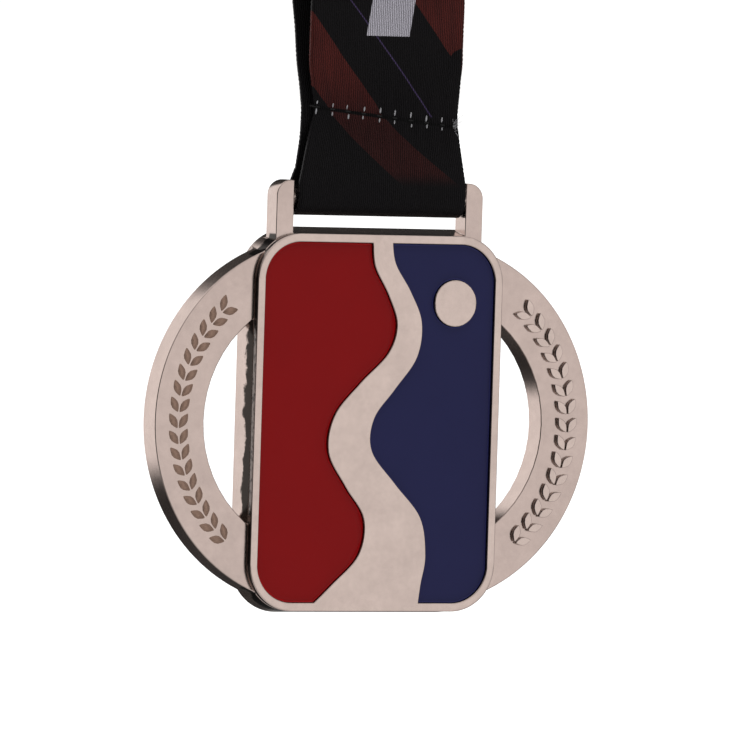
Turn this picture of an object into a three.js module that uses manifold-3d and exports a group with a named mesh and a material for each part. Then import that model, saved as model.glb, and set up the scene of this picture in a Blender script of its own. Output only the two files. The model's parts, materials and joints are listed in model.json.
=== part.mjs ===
// A sports finisher medal on a neck ribbon, hanging straight down.
// Units are millimetres. +Z is up, -Y is the front, and the origin is the point the ribbon
// hangs from. The bar that the ribbon passes round lies along X, in the plane Y = 0.
import * as THREE from 'three';
import { mergeVertices } from 'three/addons/utils/BufferGeometryUtils.js';
import Module from 'manifold-3d';

const wasm = await Module();
wasm.setup();

// ---- Driving dimensions -------------------------------------------------------------------

// Front plaque: a rounded rectangle with a raised rim and a sunk field for the enamel.
const PLAQUE_WIDTH = 37;
const PLAQUE_HEIGHT = 51.4;
const PLAQUE_CORNER = 6.4;
const PLAQUE_THICKNESS = 1;
const RIM_WIDTH = 1.15;
const FIELD_DEPTH = 0.8;
const SOLDER_GAP = 0.05;

// Enamel fills in the sunk field.
const ENAMEL_THICKNESS = 0.2;
const ENAMEL_CLEARANCE = 0.05;

// Plain round sun standing in the navy field.
const SUN_CENTRE = [11.4, 16.5];
const SUN_RADIUS = 3.2;

// Ring frame: a thick central block with a curved ear on each side.
const FRAME_THICKNESS = 3.2;
const BLOCK_THICKNESS = 4.4;
const WALL_DRAFT = 0.1;
const EAR_CENTRE = 7.8;
const EAR_RADIUS = 25;
const OPENING_CENTRE = 8.15;
const OPENING_RADIUS = 17.4;
const BACK_FIELD_RIM = 1.6;
const BACK_FIELD_DEPTH = 0.5;

// Ribbon bar and the two lugs that carry it.
const SLOT_CLEARANCE = 0.5;
const SLOT_FLOOR_RISE = 0.8;
const LUG_WIDTH = 2.6;
const LUG_HEIGHT = 7.2;
const LUG_CORNER = 2.1;
const LUG_ROOT = 2;
const BAR_RADIUS = 1.6;
const BAR_ABOVE_PLAQUE = 4.9;

// Neck ribbon.
const RIBBON_WIDTH = 25;
const RIBBON_THICKNESS = 0.6;
const BAR_CLEARANCE = 0.3;
const SEAM_ABOVE_BAR = 11.6;
const SEAM_HEIGHT = 1.2;
const SEAM_GAP = 0.15;
const STRAP_GAP = 0.3;
const HANK_ABOVE_BAR = 33;
const HANK_HEIGHT = 66;
const HANK_RUNS = 12;
const HANK_RUN_GAP = 0.33;
const HANK_CORNER = 2;
const HANK_GAP = 0.3;
const TIE_HEIGHT = 7;
const TIE_THICKNESS = 0.6;

// ---- Places worked out from them ----------------------------------------------------------

const BAR_Z = -(HANK_HEIGHT + HANK_ABOVE_BAR);
const PLAQUE_Z = BAR_Z - BAR_ABOVE_PLAQUE - PLAQUE_HEIGHT / 2;
const FRAME_FRONT_Y = -FRAME_THICKNESS / 2;
const FRAME_BACK_Y = FRAME_THICKNESS / 2;
const BLOCK_BACK_Y = FRAME_FRONT_Y + BLOCK_THICKNESS;
const PLAQUE_BACK_Y = FRAME_FRONT_Y - SOLDER_GAP;
const PLAQUE_FRONT_Y = PLAQUE_BACK_Y - PLAQUE_THICKNESS;
const FIELD_Y = PLAQUE_FRONT_Y + FIELD_DEPTH;
const FIELD_WIDTH = PLAQUE_WIDTH - 2 * RIM_WIDTH;
const FIELD_HEIGHT = PLAQUE_HEIGHT - 2 * RIM_WIDTH;
const FIELD_CORNER = PLAQUE_CORNER - RIM_WIDTH;
const SLOT_WIDTH = RIBBON_WIDTH + 2 * SLOT_CLEARANCE;
const LOOP_INNER = BAR_RADIUS + BAR_CLEARANCE;
const LOOP_OUTER = LOOP_INNER + RIBBON_THICKNESS;
const SEAM_Z = BAR_Z + SEAM_ABOVE_BAR;
const HANK_BOTTOM_Z = BAR_Z + HANK_ABOVE_BAR;
const HANK_DEPTH = HANK_RUNS * (RIBBON_THICKNESS + HANK_RUN_GAP);

// ---- Materials ----------------------------------------------------------------------------

const nickel = new THREE.MeshStandardMaterial({ color: 0xcbbdb2, roughness: 0.3, metalness: 1 });
const redEnamel = new THREE.MeshStandardMaterial({ color: 0x8a1418, roughness: 0.15, metalness: 0 });
const navyEnamel = new THREE.MeshStandardMaterial({ color: 0x26284e, roughness: 0.15, metalness: 0 });
const blackRibbon = new THREE.MeshStandardMaterial({ color: 0x131214, roughness: 0.7, metalness: 0 });
const thread = new THREE.MeshStandardMaterial({ color: 0x1b1a1d, roughness: 0.6, metalness: 0 });

// ---- Solids: three.js shapes, joined and cut by manifold ----------------------------------

function toSolid(geometry) {
  const bare = geometry.index ? geometry.clone() : geometry;
  bare.deleteAttribute('normal');
  bare.deleteAttribute('uv');
  const merged = mergeVertices(bare, 1e-4);
  return new wasm.Manifold(new wasm.Mesh({
    numProp: 3,
    vertProperties: new Float32Array(merged.attributes.position.array),
    triVerts: new Uint32Array(merged.index.array),
  }));
}

function toGeometry(solid) {
  const { vertProperties, triVerts } = solid.getMesh();
  const geometry = new THREE.BufferGeometry();
  geometry.setAttribute('position', new THREE.BufferAttribute(new Float32Array(vertProperties), 3));
  geometry.setIndex(new THREE.BufferAttribute(new Uint32Array(triVerts), 1));
  geometry.computeVertexNormals();
  return geometry;
}

function mesh(name, solid, material) {
  const node = new THREE.Mesh(toGeometry(solid), material);
  node.name = name;
  return node;
}

// A shape drawn in X and Z, standing between two Y planes. Its front outline is the shape's
// own, and with a draft the outline grows towards the back.
function plate(shape, frontY, backY, { draft = 0, curveSegments = 12 } = {}) {
  const thickness = backY - frontY;
  const flare = draft * thickness;
  const geometry = new THREE.ExtrudeGeometry(shape, {
    depth: thickness,
    curveSegments,
    bevelEnabled: draft > 0,
    bevelThickness: thickness,
    bevelSize: flare,
    bevelSegments: 1,
  });
  geometry.rotateX(Math.PI / 2);
  if (draft === 0) {
    geometry.translate(0, backY, 0);
    return toSolid(geometry);
  }
  // The full bevelled body is widest in its middle third, and only its tapering front is kept.
  geometry.translate(0, backY + thickness, 0);
  return toSolid(geometry).intersect(block(400, thickness, 400, [0, frontY + thickness / 2, PLAQUE_Z]));
}

function block(width, depth, height, [x, y, z]) {
  return toSolid(new THREE.BoxGeometry(width, depth, height).translate(x, y, z));
}

function roundedRectangle(width, height, radius, [centreX, centreZ]) {
  const left = centreX - width / 2;
  const right = centreX + width / 2;
  const bottom = centreZ - height / 2;
  const top = centreZ + height / 2;
  const shape = new THREE.Shape();
  shape.moveTo(left + radius, bottom);
  shape.lineTo(right - radius, bottom);
  shape.absarc(right - radius, bottom + radius, radius, -Math.PI / 2, 0, false);
  shape.lineTo(right, top - radius);
  shape.absarc(right - radius, top - radius, radius, 0, Math.PI / 2, false);
  shape.lineTo(left + radius, top);
  shape.absarc(left + radius, top - radius, radius, Math.PI / 2, Math.PI, false);
  shape.lineTo(left, bottom + radius);
  shape.absarc(left + radius, bottom + radius, radius, Math.PI, 1.5 * Math.PI, false);
  return shape;
}

function disc(centreX, radius) {
  const shape = new THREE.Shape();
  shape.absarc(centreX, PLAQUE_Z, radius, 0, 2 * Math.PI, false);
  return shape;
}

// ---- Road: a winding road that narrows towards the top rim --------------------------------
// Both edges run from the top rim down to the bottom rim, as X and Z from the plaque's centre.
// The first and last points lie in the rim, so the road joins it. They are drawn on a field
// of the size below, and spread with the real field's width and height.

const DRAWN_FIELD_WIDTH = 34.7;
const DRAWN_FIELD_HEIGHT = 49.1;

const roadLeft = [
  [-1.4, 25.2], [-1.0, 21.5], [1.2, 17.5], [2.6, 13.5], [1.4, 9.5], [-2.6, 5.5], [-6.4, 1.0],
  [-7.2, -4.0], [-4.4, -8.8], [-1.6, -13.0], [-2.2, -18.0], [-6.0, -22.0], [-9.4, -25.2],
];

const roadRight = [
  [1.6, 25.2], [2.2, 21.8], [4.6, 18.0], [6.4, 13.8], [5.8, 9.0], [2.6, 4.6], [-0.4, 0.6],
  [-0.6, -3.8], [3.0, -8.2], [7.0, -12.8], [8.0, -18.0], [7.4, -22.0], [7.0, -25.2],
];

const CURVE_STEPS = 8;

function onField([x, z]) {
  return new THREE.Vector2(
    x * FIELD_WIDTH / DRAWN_FIELD_WIDTH,
    PLAQUE_Z + z * FIELD_HEIGHT / DRAWN_FIELD_HEIGHT,
  );
}

// The outline as a smooth curve, moved sideways by a clearance away from the road.
function smoothOutline(outline, side, clearance) {
  const points = outline.map(onField);
  const curve = new THREE.SplineCurve(points).getPoints(CURVE_STEPS * (points.length - 1));
  const last = curve.length - 1;
  return curve.map((point, i) => {
    const before = curve[Math.max(i - 1, 0)];
    const along = curve[Math.min(i + 1, last)].clone().sub(before).normalize();
    return new THREE.Vector2(
      point.x - side * clearance * along.y,
      point.y + side * clearance * along.x,
    );
  });
}

// One side of the field: everything between the road's edge and that side's edge.
function fieldSide(outline, side, clearance) {
  const far = side * PLAQUE_WIDTH;
  const curve = smoothOutline(outline, side, clearance);
  const shape = new THREE.Shape(curve);
  shape.lineTo(far, curve[curve.length - 1].y);
  shape.lineTo(far, curve[0].y);
  return shape;
}

function sun(clearance) {
  const centre = onField(SUN_CENTRE);
  const shape = new THREE.Shape();
  shape.absarc(centre.x, centre.y, SUN_RADIUS + clearance, 0, 2 * Math.PI, false);
  return shape;
}

// The sunk space of one side, cut to the field's rounded outline. A clearance shrinks it.
function sunkSide(outline, side, frontY, backY, clearance = 0) {
  const field = plate(roundedRectangle(FIELD_WIDTH - 2 * clearance, FIELD_HEIGHT - 2 * clearance,
    FIELD_CORNER - clearance, [0, PLAQUE_Z]), frontY, backY);
  const open = plate(fieldSide(outline, side, clearance), frontY, backY).intersect(field);
  return side > 0 ? open.subtract(plate(sun(clearance), frontY, backY, { curveSegments: 16 })) : open;
}

// ---- Medal --------------------------------------------------------------------------------

function frontPlaque() {
  const body = plate(roundedRectangle(PLAQUE_WIDTH, PLAQUE_HEIGHT, PLAQUE_CORNER, [0, PLAQUE_Z]),
    PLAQUE_FRONT_Y, PLAQUE_BACK_Y);
  const above = PLAQUE_FRONT_Y - PLAQUE_THICKNESS;
  return body
    .subtract(sunkSide(roadLeft, -1, above, FIELD_Y))
    .subtract(sunkSide(roadRight, 1, above, FIELD_Y));
}

function enamel(outline, side) {
  const backY = FIELD_Y - ENAMEL_CLEARANCE;
  return sunkSide(outline, side, backY - ENAMEL_THICKNESS, backY, ENAMEL_CLEARANCE);
}

function ear(side) {
  const outer = plate(disc(side * EAR_CENTRE, EAR_RADIUS), FRAME_FRONT_Y, FRAME_BACK_Y,
    { draft: WALL_DRAFT, curveSegments: 72 });
  // The hole narrows towards the back, so its front radius is the larger one.
  const flare = WALL_DRAFT * FRAME_THICKNESS;
  const hole = new THREE.CylinderGeometry(
    OPENING_RADIUS - 2 * flare,
    OPENING_RADIUS + flare,
    3 * FRAME_THICKNESS,
    56,
  );
  return outer.subtract(toSolid(hole.translate(side * OPENING_CENTRE, 0, PLAQUE_Z)));
}

// Each lug is rooted below the block's rounded corner, at the height of its outside edge.
function lug(side) {
  const inside = SLOT_WIDTH / 2;
  const outside = inside + LUG_WIDTH;
  const pastCorner = Math.max(outside - (PLAQUE_WIDTH / 2 - PLAQUE_CORNER), 0);
  const cornerDrop = PLAQUE_CORNER - Math.sqrt(PLAQUE_CORNER ** 2 - pastCorner ** 2);
  const blockTop = PLAQUE_Z + PLAQUE_HEIGHT / 2;
  const root = blockTop - cornerDrop - LUG_ROOT;
  const top = blockTop + LUG_HEIGHT;
  const shape = new THREE.Shape();
  shape.moveTo(inside, root);
  shape.lineTo(outside, root);
  shape.lineTo(outside, top - LUG_CORNER);
  shape.absarc(outside - LUG_CORNER, top - LUG_CORNER, LUG_CORNER, 0, Math.PI / 2, false);
  shape.lineTo(inside, top);
  const solid = plate(shape, FRAME_FRONT_Y, FRAME_BACK_Y);
  return side > 0 ? solid : solid.mirror([1, 0, 0]);
}

// The slot's floor between the lugs, rising towards the back.
function slotFloor() {
  const top = PLAQUE_Z + PLAQUE_HEIGHT / 2;
  const shape = new THREE.Shape();
  shape.moveTo(FRAME_FRONT_Y, top - LUG_ROOT);
  shape.lineTo(BLOCK_BACK_Y, top - LUG_ROOT);
  shape.lineTo(BLOCK_BACK_Y, top + SLOT_FLOOR_RISE);
  shape.lineTo(FRAME_FRONT_Y, top);
  return across(shape, SLOT_WIDTH + LUG_WIDTH);
}

function ringFrame() {
  const centre = plate(roundedRectangle(PLAQUE_WIDTH, PLAQUE_HEIGHT, PLAQUE_CORNER, [0, PLAQUE_Z]),
    FRAME_FRONT_Y, BLOCK_BACK_Y, { draft: WALL_DRAFT });
  const backField = plate(roundedRectangle(PLAQUE_WIDTH - 2 * BACK_FIELD_RIM,
    PLAQUE_HEIGHT - 2 * BACK_FIELD_RIM, PLAQUE_CORNER - BACK_FIELD_RIM, [0, PLAQUE_Z]),
  BLOCK_BACK_Y - BACK_FIELD_DEPTH, BLOCK_BACK_Y + BACK_FIELD_DEPTH);
  const bar = toSolid(new THREE.CylinderGeometry(BAR_RADIUS, BAR_RADIUS, SLOT_WIDTH + LUG_WIDTH, 32)
    .rotateZ(Math.PI / 2).translate(0, 0, BAR_Z));
  return ear(-1).add(ear(1)).add(centre).add(slotFloor())
    .add(lug(-1)).add(lug(1)).add(bar).subtract(backField);
}

// ---- Ribbon -------------------------------------------------------------------------------

// A profile drawn in Y and Z, and centred along X.
function across(shape, width = RIBBON_WIDTH) {
  const geometry = new THREE.ExtrudeGeometry(shape, {
    depth: width,
    curveSegments: 12,
    bevelEnabled: false,
  });
  // Shape X becomes Y, shape Y becomes Z, and the extrusion runs along X.
  geometry.rotateX(Math.PI / 2).rotateZ(Math.PI / 2).translate(-width / 2, 0, 0);
  return toSolid(geometry);
}

// The loop round the bar: open along X, its two layers meeting below the seam.
function ribbonLoop() {
  const top = SEAM_Z - SEAM_HEIGHT / 2 - SEAM_GAP;
  const bend = BAR_Z + LOOP_OUTER;
  const outline = new THREE.Shape();
  outline.moveTo(-RIBBON_THICKNESS, top);
  outline.bezierCurveTo(-RIBBON_THICKNESS, top - LOOP_OUTER, -LOOP_OUTER, bend, -LOOP_OUTER, BAR_Z);
  outline.absarc(0, BAR_Z, LOOP_OUTER, Math.PI, 2 * Math.PI, false);
  outline.bezierCurveTo(LOOP_OUTER, bend, RIBBON_THICKNESS, top - LOOP_OUTER, RIBBON_THICKNESS, top);
  const inside = new THREE.Path();
  const apex = top - LOOP_INNER;
  inside.moveTo(LOOP_INNER, BAR_Z);
  inside.absarc(0, BAR_Z, LOOP_INNER, 2 * Math.PI, Math.PI, true);
  inside.bezierCurveTo(-LOOP_INNER, BAR_Z + LOOP_INNER, -STRAP_GAP, apex - LOOP_OUTER, 0, apex);
  inside.bezierCurveTo(STRAP_GAP, apex - LOOP_OUTER, LOOP_INNER, BAR_Z + LOOP_INNER, LOOP_INNER, BAR_Z);
  outline.holes.push(inside);
  return across(outline);
}

// One strap from the seam up to the hank, leaning out to the hank's front or back face.
function strap(side) {
  const bottom = SEAM_Z + SEAM_HEIGHT / 2 + SEAM_GAP;
  const top = HANK_BOTTOM_Z - HANK_GAP;
  const near = side * STRAP_GAP / 2;
  const far = side * (HANK_DEPTH / 2 - RIBBON_THICKNESS);
  const thick = side * RIBBON_THICKNESS;
  const third = (top - bottom) / 3;
  const shape = new THREE.Shape();
  shape.moveTo(near, bottom);
  shape.bezierCurveTo(near, bottom + third, far, top - third, far, top);
  shape.lineTo(far + thick, top);
  shape.bezierCurveTo(far + thick, top - third, near + thick, bottom + third, near + thick, bottom);
  return across(shape);
}

function seamThread() {
  return block(RIBBON_WIDTH, 2 * RIBBON_THICKNESS + STRAP_GAP, SEAM_HEIGHT, [0, 0, SEAM_Z]);
}

// The folded length, as one solid of its outer shape.
function ribbonHank() {
  const middle = HANK_BOTTOM_Z + HANK_HEIGHT / 2;
  return across(roundedRectangle(HANK_DEPTH, HANK_HEIGHT, HANK_CORNER, [0, middle]));
}

function hankTie() {
  const inner = [RIBBON_WIDTH + 2 * HANK_GAP, HANK_DEPTH + 2 * HANK_GAP];
  const outer = inner.map((length) => length + 2 * TIE_THICKNESS);
  const z = HANK_BOTTOM_Z + HANK_HEIGHT / 2;
  return block(outer[0], outer[1], TIE_HEIGHT, [0, 0, z])
    .subtract(block(inner[0], inner[1], 2 * TIE_HEIGHT, [0, 0, z]));
}

// ---- Assembly -----------------------------------------------------------------------------

const medal = new THREE.Group();
medal.add(
  mesh('ring_frame', ringFrame(), nickel),
  mesh('front_plaque', frontPlaque(), nickel),
  mesh('red_enamel', enamel(roadLeft, -1), redEnamel),
  mesh('navy_enamel', enamel(roadRight, 1), navyEnamel),
);

const ribbon = new THREE.Group();
ribbon.add(
  mesh('ribbon_loop', ribbonLoop(), blackRibbon),
  mesh('ribbon_front_strap', strap(-1), blackRibbon),
  mesh('ribbon_back_strap', strap(1), blackRibbon),
  mesh('ribbon_hank', ribbonHank(), blackRibbon),
  mesh('seam_thread', seamThread(), thread),
  mesh('hank_tie', hankTie(), blackRibbon),
);

const part = new THREE.Group();
part.add(medal, ribbon);

export default part;
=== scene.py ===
"""A sports finisher medal on a folded neck ribbon, laid out as a Blender add-on and run as a script."""

import json
import math
import random

import bmesh
import bpy
from bpy.props import FloatProperty, FloatVectorProperty, IntProperty, PointerProperty
from mathutils import Matrix, Vector, noise


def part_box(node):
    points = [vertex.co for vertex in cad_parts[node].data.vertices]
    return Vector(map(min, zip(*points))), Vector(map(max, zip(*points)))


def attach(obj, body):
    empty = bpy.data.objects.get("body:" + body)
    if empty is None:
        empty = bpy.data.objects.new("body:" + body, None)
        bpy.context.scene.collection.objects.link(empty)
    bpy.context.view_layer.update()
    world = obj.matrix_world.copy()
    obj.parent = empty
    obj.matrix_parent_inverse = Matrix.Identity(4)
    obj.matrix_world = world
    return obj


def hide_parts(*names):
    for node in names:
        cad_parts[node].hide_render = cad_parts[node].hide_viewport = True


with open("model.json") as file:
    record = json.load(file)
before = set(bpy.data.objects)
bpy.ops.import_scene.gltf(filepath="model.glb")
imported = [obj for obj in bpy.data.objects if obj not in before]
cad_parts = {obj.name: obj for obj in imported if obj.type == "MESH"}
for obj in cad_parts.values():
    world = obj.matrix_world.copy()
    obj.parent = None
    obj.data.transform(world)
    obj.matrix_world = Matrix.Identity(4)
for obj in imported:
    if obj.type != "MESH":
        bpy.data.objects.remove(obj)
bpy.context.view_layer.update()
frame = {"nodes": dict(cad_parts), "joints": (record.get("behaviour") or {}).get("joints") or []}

bl_info = {
    "name": "Finisher medal",
    "version": (1, 0, 0),
    "blender": (4, 5, 0),
    "location": "View3D > Sidebar > Medal",
    "description": "Builds a cast and enamelled finisher medal hanging from its neck ribbon",
    "category": "Add Mesh",
}

MM = 0.001
UP = Vector((0.0, 0.0, 1.0))
FRONT = Vector((0.0, -1.0, 0.0))

# ---- Places taken from the frame -----------------------------------------------------------

RING_LOW, RING_HIGH = (Vector(corner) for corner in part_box("ring_frame"))
PLAQUE_LOW, PLAQUE_HIGH = (Vector(corner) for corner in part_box("front_plaque"))
HANK_LOW, HANK_HIGH = (Vector(corner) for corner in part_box("ribbon_hank"))
LOOP_LOW, LOOP_HIGH = (Vector(corner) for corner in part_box("ribbon_loop"))
TIE_LOW, TIE_HIGH = (Vector(corner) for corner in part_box("hank_tie"))
BAR = Vector(frame["joints"][0]["pos_m"])
PLAQUE_CENTRE = (PLAQUE_LOW + PLAQUE_HIGH) / 2
EAR_FRONT_Y = RING_LOW.y


# ---- Sizes and colours ---------------------------------------------------------------------


def length(name, description, millimetres):
    """A length property with its default in millimetres."""
    return FloatProperty(
        name=name,
        description=description,
        default=millimetres * MM,
        precision=5,
        subtype="DISTANCE",
        unit="LENGTH",
    )


def colour(name, description, default):
    """A linear colour property."""
    return FloatVectorProperty(
        name=name,
        description=description,
        default=default,
        size=3,
        min=0.0,
        max=1.0,
        subtype="COLOR",
    )


class CastingSizes(bpy.types.PropertyGroup):
    edge_round: length("Edge round", "Width of the rounded edge on the ring casting", 0.13)
    rim_round: length("Rim round", "Width of the rounded edge on the plaque", 0.12)
    ear_radius: length("Ear radius", "Outer radius of both ears", 25.0)
    sprig_radius: length("Sprig radius", "Radius of the leaf rows, from the ear's centre", 21.2)
    leaf_length: length("Leaf length", "Length of one leaf of a sprig", 2.3)
    leaf_width: length("Leaf width", "Width of one leaf of a sprig", 1.15)
    raised_height: length("Raised height", "How far the raised leaves stand up", 0.6)
    engraved_pairs: IntProperty(
        name="Engraved pairs",
        description="Pairs of leaves in the left ear's engraved sprig",
        default=17,
    )
    raised_pairs: IntProperty(
        name="Raised pairs",
        description="Pairs of leaves in the right ear's raised sprig",
        default=15,
    )


class RibbonSizes(bpy.types.PropertyGroup):
    width: length("Width", "Flat width of the ribbon", 25.0)
    thickness: length("Thickness", "Thickness of the woven ribbon", 0.6)
    wale_pitch: length("Wale pitch", "Distance between two ribs of the weave", 0.3)
    runs: IntProperty(name="Runs", description="Runs of ribbon in the folded hank", default=12)
    seam_height: length("Seam height", "Height of the seam above the bar", 11.25)
    seam_slope: FloatProperty(
        name="Seam slope", description="Fall of the seam towards the right", default=0.11
    )
    strap_spread: length("Strap spread", "How far each strap leaves the middle on its way up", 1.87)
    strap_yaw: FloatProperty(
        name="Strap yaw", description="Turn of the front strap above the seam", default=0.15
    )
    stitch_pitch: length("Stitch pitch", "Distance between two stitches of the seam", 2.4)
    stitches: IntProperty(name="Stitches", description="Stitches across the seam", default=9)


class FinishColours(bpy.types.PropertyGroup):
    nickel: colour("Nickel", "Satin nickel plate of the plaque", (0.665, 0.54, 0.49))
    ring_nickel: colour("Ring nickel", "Duller nickel plate of the ring casting", (0.615, 0.495, 0.45))
    red: colour("Red", "Red enamel", (0.4, 0.0012, 0.003))
    navy: colour("Navy", "Navy enamel", (0.026, 0.028, 0.12))
    # painted shade: a dark brown laid on the castings' walls in place of the shade and dark reflections on
    # them
    painted_shade: colour("Painted shade", "Dark brown patina in the corners of the castings", (0.02, 0.013, 0.009))
    engraving: colour("Engraving", "Burnt brown of the engraved sprig", (0.52, 0.34, 0.26))
    ribbon: colour("Ribbon", "Ground colour of the ribbon", (0.0058, 0.0047, 0.0058))
    band: colour("Band", "Printed diagonal band", (0.1, 0.017, 0.014))
    line: colour("Line", "Thin printed diagonal line", (0.075, 0.05, 0.13))
    block: colour("Block", "Pale printed block", (0.62, 0.6, 0.68))


class StageSizes(bpy.types.PropertyGroup):
    azimuth: FloatProperty(
        name="Azimuth",
        description="Direction that the camera looks from, turned to the medal's left",
        default=math.radians(-25.85),
        subtype="ANGLE",
        unit="ROTATION",
    )
    elevation: FloatProperty(
        name="Elevation",
        description="Height of the camera above the medal's middle, as an angle",
        default=math.radians(2.08),
        subtype="ANGLE",
        unit="ROTATION",
    )
    roll: FloatProperty(
        name="Roll",
        description="How far the medal hangs off the upright",
        default=math.radians(1.745),
        subtype="ANGLE",
        unit="ROTATION",
    )
    distance: length("Distance", "Camera to the middle of the plaque", 1413.0)
    lens: FloatProperty(
        name="Lens", description="Focal length in millimetres", default=497.7, min=1.0
    )
    aim_up: length("Aim up", "Height of the picture's middle above the plaque's", 6.58)
    aim_right: length("Aim right", "The picture's middle to the right of the plaque's", -0.29)
    floor_drop: length("Floor drop", "Floor below the lowest point of the medal", 60.0)


# ---- Meshes --------------------------------------------------------------------------------


def add_piece(name, mesh_data, material, body, slot, *stands_for):
    """Makes a finished bmesh into a piece that rides on a body."""
    mesh = bpy.data.meshes.new(name)
    mesh_data.to_mesh(mesh)
    mesh_data.free()
    mesh.shade_smooth()
    mesh.materials.append(material)
    piece = bpy.data.objects.new(name, mesh)
    bpy.context.scene.collection.objects.link(piece)
    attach(piece, body)
    if stands_for:
        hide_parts(*stands_for)
    return piece


def casting(node, rounding, segments=2):
    """A copy of a CAD node with its flats cleaned up and its sharp edges rounded."""
    bm = bmesh.new()
    bm.from_mesh(frame["nodes"][node].data)
    bmesh.ops.remove_doubles(bm, verts=bm.verts, dist=0.002 * MM)
    bmesh.ops.dissolve_limit(
        bm, angle_limit=math.radians(0.5), verts=bm.verts, edges=bm.edges
    )
    sharp = [
        edge for edge in bm.edges if edge.is_manifold and edge.calc_face_angle() > math.radians(30)
    ]
    bmesh.ops.bevel(
        bm,
        geom=sharp,
        offset=rounding,
        offset_type="OFFSET",
        segments=segments,
        profile=0.5,
        affect="EDGES",
        clamp_overlap=False,
        material=-1,
    )
    many_sided = [face for face in bm.faces if len(face.verts) > 4]
    bmesh.ops.triangulate(bm, faces=many_sided, quad_method="BEAUTY", ngon_method="BEAUTY")
    low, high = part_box(node)
    for vertex in bm.verts:
        for axis in range(3):
            vertex.co[axis] = min(max(vertex.co[axis], low[axis]), high[axis])
    return bm


def even_shading(piece):
    """Keeps large flats flat beside their rounded edges."""
    modifier = piece.modifiers.new("Even shading", "WEIGHTED_NORMAL")
    modifier.keep_sharp = True
    modifier.weight = 90


# ---- Material nodes ------------------------------------------------------------------------


class Tree:
    """A node tree with short ways to add nodes and link them."""

    def __init__(self, tree):
        self.tree = tree

    def add(self, kind, **settings):
        node = self.tree.nodes.new(kind)
        for name, value in settings.items():
            setattr(node, name, value)
        return node

    def put(self, socket, value):
        if isinstance(value, bpy.types.NodeSocket):
            self.tree.links.new(value, socket)
        elif value is not None:
            socket.default_value = value

    def math(self, operation, *values):
        node = self.add("ShaderNodeMath", operation=operation)
        for socket, value in zip(node.inputs, values):
            self.put(socket, value)
        return node.outputs[0]

    def smooth(self, value, low, high):
        """0 below low, 1 above high, eased between them."""
        node = self.add("ShaderNodeMapRange", interpolation_type="SMOOTHSTEP")
        for socket, given in zip(node.inputs, (value, low, high, 0.0, 1.0)):
            self.put(socket, given)
        return node.outputs[0]

    def inverse(self, mask):
        return self.math("SUBTRACT", 1.0, mask)

    def spread(self, value, low, high):
        """A mask from 0 to 1, spread between two values."""
        node = self.add("ShaderNodeMapRange")
        for socket, given in zip(node.inputs, (value, 0.0, 1.0, low, high)):
            self.put(socket, given)
        return node.outputs[0]

    def mix(self, mask, first, second):
        node = self.add("ShaderNodeMix", data_type="RGBA")
        self.put(node.inputs[0], mask)
        for socket, value in ((node.inputs[6], first), (node.inputs[7], second)):
            self.put(socket, value if isinstance(value, bpy.types.NodeSocket) else (*value, 1.0))
        return node.outputs[2]

    def noise(self, vector, scale, detail=2.0, roughness=0.5):
        node = self.add("ShaderNodeTexNoise")
        self.put(node.inputs["Vector"], vector)
        self.put(node.inputs["Scale"], scale)
        self.put(node.inputs["Detail"], detail)
        self.put(node.inputs["Roughness"], roughness)
        return node.outputs[0]

    def stretched(self, vector, scale):
        node = self.add("ShaderNodeMapping")
        self.put(node.inputs["Vector"], vector)
        self.put(node.inputs["Scale"], scale)
        return node.outputs[0]

    def bump(self, height, distance, strength=1.0, normal=None):
        node = self.add("ShaderNodeBump")
        self.put(node.inputs["Height"], height)
        self.put(node.inputs["Distance"], distance)
        self.put(node.inputs["Strength"], strength)
        self.put(node.inputs["Normal"], normal)
        return node.outputs[0]

    def group(self, tree, **values):
        node = self.add("ShaderNodeGroup", node_tree=tree)
        for name, value in values.items():
            self.put(node.inputs[name.replace("_", " ")], value)
        return node


def new_material(name):
    """A material with only its Principled shader, and its tree."""
    material = bpy.data.materials.new(name)
    material.use_nodes = True
    tree = Tree(material.node_tree)
    shader = next(node for node in material.node_tree.nodes if node.type == "BSDF_PRINCIPLED")
    return material, tree, shader


def new_group(name, inputs, outputs):
    """An empty node group with named float, vector or colour sockets."""
    group = bpy.data.node_groups.new(name, "ShaderNodeTree")
    for socket, kind, default in inputs:
        made = group.interface.new_socket(socket, in_out="INPUT", socket_type=kind)
        if default is not None:
            made.default_value = default
    for socket, kind in outputs:
        group.interface.new_socket(socket, in_out="OUTPUT", socket_type=kind)
    tree = Tree(group)
    return group, tree, tree.add("NodeGroupInput"), tree.add("NodeGroupOutput")


def grain_group():
    """Fine cast grain and broad unevenness, for the metal and the enamel."""
    if "Grain" in bpy.data.node_groups:
        return bpy.data.node_groups["Grain"]
    group, tree, given, result = new_group(
        "Grain",
        [
            ("Fine size", "NodeSocketFloat", 0.12 * MM),
            ("Broad size", "NodeSocketFloat", 4.0 * MM),
        ],
        [("Fine", "NodeSocketFloat"), ("Broad", "NodeSocketFloat")],
    )
    place = tree.add("ShaderNodeTexCoord").outputs["Object"]
    fine = tree.noise(place, tree.math("DIVIDE", 1.0, given.outputs["Fine size"]), 3.0, 0.6)
    broad = tree.noise(place, tree.math("DIVIDE", 1.0, given.outputs["Broad size"]), 2.0)
    tree.put(result.inputs["Fine"], fine)
    tree.put(result.inputs["Broad"], broad)
    return group


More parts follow.
